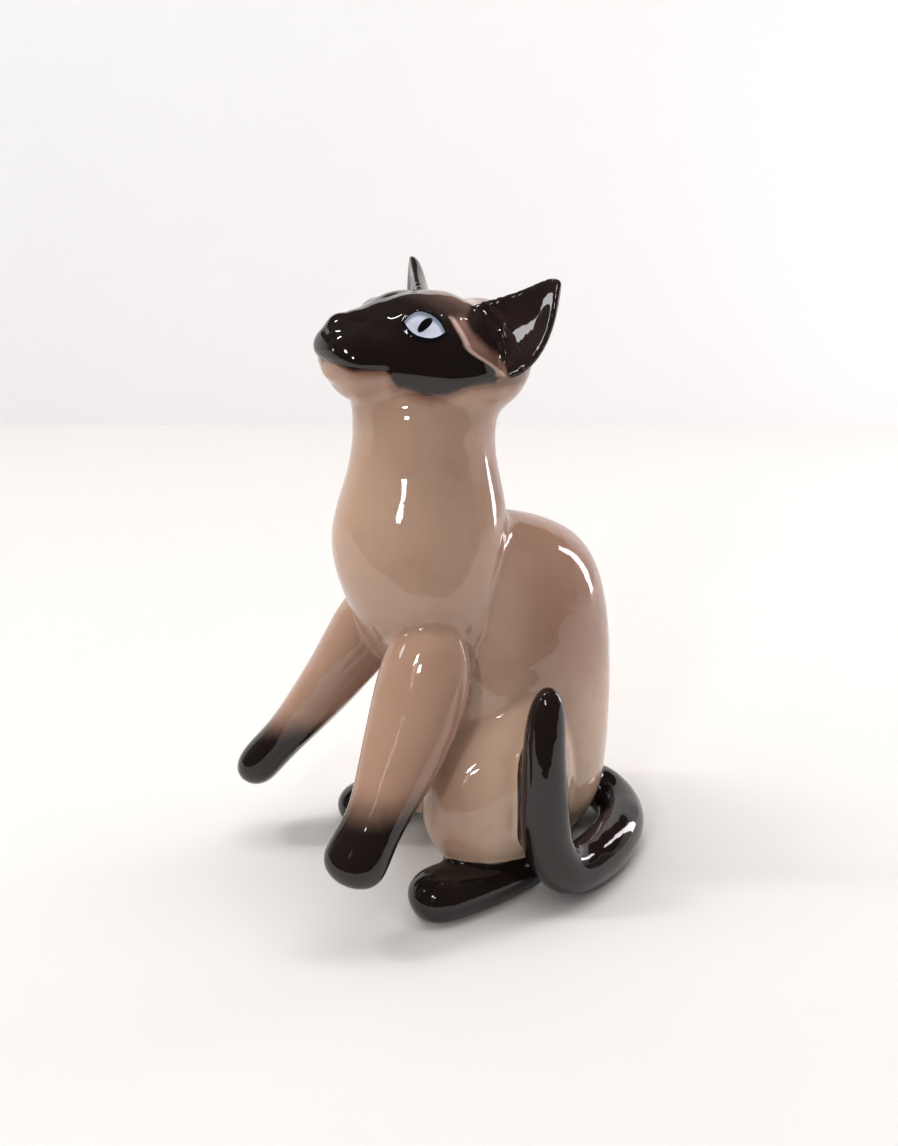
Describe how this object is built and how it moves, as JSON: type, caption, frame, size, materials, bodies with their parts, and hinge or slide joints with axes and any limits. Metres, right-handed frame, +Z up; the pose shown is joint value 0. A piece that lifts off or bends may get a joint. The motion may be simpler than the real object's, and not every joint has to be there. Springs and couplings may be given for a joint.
{
  "type": "ceramic cat figurine",
  "caption": "Hollow slip-cast porcelain cat, sitting up with both forepaws lifted, head raised and tail curled round its left side, in a glossy glaze.",
  "frame": {"origin": "on the standing plane, in the flat base of the body casting, on the cat's mid-plane", "axes": "+Z up, +X the cat's left, the cat faces -Y"},
  "size_m": [0.0617, 0.0784, 0.1193],
  "materials": {
    "fawn_glaze": "glossy clear glaze over a warm fawn, paler on the chest and haunch",
    "mask_glaze": "glossy clear glaze over an airbrushed black-brown mask, fawn below and behind it",
    "seal_glaze": "glossy clear glaze over airbrushed black-brown",
    "foreleg_glaze": "glossy clear glaze over fawn that fades to black-brown at the paw",
    "fired_slip": "matt fired porcelain slip"
  },
  "bodies": {
    "root": {"body_casting": "fawn_glaze", "head_casting": "mask_glaze", "left_ear": "seal_glaze", "right_ear": "seal_glaze", "left_foreleg": "foreleg_glaze", "right_foreleg": "foreleg_glaze", "left_hind_foot": "seal_glaze", "right_hind_foot": "seal_glaze", "tail": "seal_glaze", "neck_slip": "fired_slip", "left_ear_slip": "fired_slip", "right_ear_slip": "fired_slip", "left_foreleg_slip": "fired_slip", "right_foreleg_slip": "fired_slip", "left_hind_foot_slip": "fired_slip", "right_hind_foot_slip": "fired_slip", "tail_slip": "fired_slip"}
  },
  "joints": []
}
